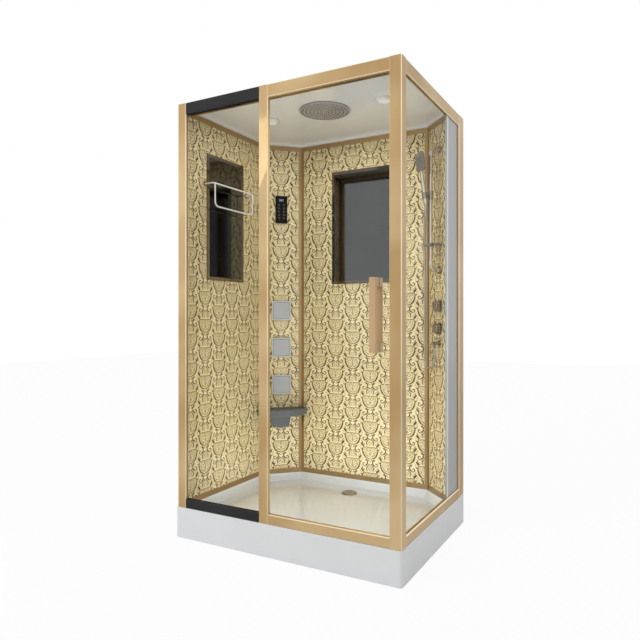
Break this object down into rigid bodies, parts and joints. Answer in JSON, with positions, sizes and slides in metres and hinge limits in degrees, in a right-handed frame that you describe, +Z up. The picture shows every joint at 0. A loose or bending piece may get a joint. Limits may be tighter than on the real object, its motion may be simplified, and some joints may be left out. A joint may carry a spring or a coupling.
{
  "type": "shower cabin",
  "caption": "Rectangular shower cabin with a sliding glass door, printed glass walls, slanted service columns, rain head, hand shower, jets, mirrors, seat and towel rack",
  "frame": {"origin": "centre of the footprint on the floor", "axes": "+X to the right along the door front, +Y from the door to the back wall, +Z up"},
  "size_m": [1.2, 0.907, 2.1603],
  "materials": {
    "tray": "white sanitary acrylic, smooth and glossy",
    "base": "galvanised grey steel, dull",
    "foot": "black moulded feet",
    "drain_chrome": "bright chrome waste",
    "trap_plastic": "white moulded trap",
    "gold_bars": "satin gold anodised profile",
    "dark_bars": "near-black anodised profile",
    "clear_glass": "clear toughened glass with polished edges",
    "grey_panel": "light grey closing panel",
    "clear_strip": "clear joint strip",
    "seal": "translucent soft seal",
    "track": "gold anodised track",
    "guide_plastic": "grey moulded guide",
    "handle_metal": "satin bronze gold door handle",
    "wheel_plastic": "white nylon wheel",
    "printed_glass": "back-printed gold wall glass, damask figure, glossy",
    "wall_profile": "tan gold corner profile",
    "ceiling_plastic": "moulded ceiling, light warm grey",
    "head_chrome": "chrome rain head",
    "nozzle_rubber": "dark silicone nozzles",
    "lamp_ring": "chrome lamp ring",
    "lamp_lens": "frosted lens",
    "panel_dark": "black housing",
    "panel_glass": "black touch glass",
    "jet_rim": "silver rim",
    "jet_face": "grey jet face with rows of holes",
    "jet_body": "white jet body",
    "seat_plastic": "dark grey moulded seat",
    "bucket_plastic": "grey bracket cover",
    "mirror": "tinted mirror with a bevel",
    "rack_chrome": "bright chrome rod",
    "rail_chrome": "bright chrome rail",
    "fitting_chrome": "bright chrome fittings",
    "shower_plastic": "chromed plastic hand shower",
    "dish_plastic": "clear grey soap dish",
    "valve_brass": "plain brass valve",
    "hose_metal": "silver spiral hose",
    "pipe_plastic": "dark feed pipe"
  },
  "bodies": {
    "cabin": {"base_frame": "base", "ceiling": "ceiling_plastic", "closing_panel": "grey_panel", "closing_seal": "seal", "corner_profiles": "wall_profile", "door_guide": "guide_plastic", "door_sill": "track", "door_track": "track", "downlights": "lamp_ring", "drain_trap": "trap_plastic", "feed_pipes": "pipe_plastic", "glass_left": "clear_glass", "glass_side": "clear_glass", "hose_outlet": "fitting_chrome", "jet_bodies": "jet_body", "jet_faces": "jet_face", "jet_rims": "jet_rim", "joint_strip": "clear_strip", "levelling_feet": "foot", "light_lenses": "lamp_lens", "mirrors": "mirror", "mixer_body": "valve_brass", "panel_case": "panel_dark", "panel_face": "panel_glass", "post_back": "gold_bars", "post_corner": "gold_bars", "post_left": "gold_bars", "post_middle": "gold_bars", "rails_gold": "gold_bars", "rails_left": "dark_bars", "rain_head": "head_chrome", "rain_nozzles": "nozzle_rubber", "riser_rail": "rail_chrome", "rosettes": "fitting_chrome", "seat": "seat_plastic", "seat_bracket": "bucket_plastic", "shower_hose": "hose_metal", "shower_tray": "tray", "towel_rack": "rack_chrome", "wall_back": "printed_glass", "wall_channels": "wall_profile", "wall_left": "printed_glass", "wall_left_column": "printed_glass", "wall_right_column": "printed_glass", "waste_flange": "drain_chrome"},
    "door": {"door_glass": "clear_glass", "door_handles": "handle_metal", "handle_bolts": "handle_metal", "carriages": "handle_metal", "door_edge_seal": "seal"},
    "front_wheel": {"wheel_1": "wheel_plastic"},
    "rear_wheel": {"wheel_2": "wheel_plastic"},
    "rail_slider": {"slider": "fitting_chrome"},
    "shower_socket": {"socket": "fitting_chrome"},
    "handset": {"hand_shower": "shower_plastic", "spray_face": "nozzle_rubber"},
    "upper_knob": {"mixer_knob_1": "fitting_chrome"},
    "lower_knob": {"mixer_knob_2": "fitting_chrome"},
    "waste_cover": {"drain_cover": "drain_chrome"},
    "dish": {"soap_dish": "dish_plastic"}
  },
  "joints": [
    {"name": "door_slide", "type": "slide", "parent": "cabin", "child": "door", "axis": [-1, 0, 0], "range_m": [0, 0.43]},
    {"name": "wheel_1_roll", "type": "hinge", "parent": "door", "child": "front_wheel", "pos_m": [0.02, -0.4077, 2.114], "axis": [0, 1, 0], "continuous": true},
    {"name": "wheel_2_roll", "type": "hinge", "parent": "door", "child": "rear_wheel", "pos_m": [0.4404, -0.4077, 2.114], "axis": [0, 1, 0], "continuous": true},
    {"name": "slider_slide", "type": "slide", "parent": "cabin", "child": "rail_slider", "axis": [0, 0, 1], "range_m": [-0.16, 0.085], "deforming": ["shower_hose"]},
    {"name": "socket_tilt", "type": "hinge", "parent": "rail_slider", "child": "shower_socket", "pos_m": [0.4572, 0.27609, 1.726], "axis": [0.7071, -0.7071, 0], "range_deg": [-11, 8], "deforming": ["shower_hose"]},
    {"name": "handset_lift", "type": "slide", "parent": "shower_socket", "child": "handset", "axis": [-0.0984, -0.0984, 0.9903], "range_m": [0, 0.08], "deforming": ["shower_hose"]},
    {"name": "upper_knob_turn", "type": "hinge", "parent": "cabin", "child": "upper_knob", "pos_m": [0.49241, 0.3113, 1.15], "axis": [-0.7071, -0.7071, 0], "range_deg": [-90, 90]},
    {"name": "lower_knob_turn", "type": "hinge", "parent": "cabin", "child": "lower_knob", "pos_m": [0.49241, 0.3113, 1.033], "axis": [-0.7071, -0.7071, 0], "range_deg": [-90, 90]},
    {"name": "drain_cover_lift", "type": "slide", "parent": "cabin", "child": "waste_cover", "axis": [0, 0, 1], "range_m": [0, 0.04]},
    {"name": "soap_dish_slide", "type": "slide", "parent": "cabin", "child": "dish", "axis": [0, 0, 1], "range_m": [-0.045, 0.03]}
  ],
  "couplings": [
    {"joint": "wheel_1_roll", "follows": "door_slide", "rad_per_m": -85.47},
    {"joint": "wheel_2_roll", "follows": "door_slide", "rad_per_m": -85.47}
  ]
}
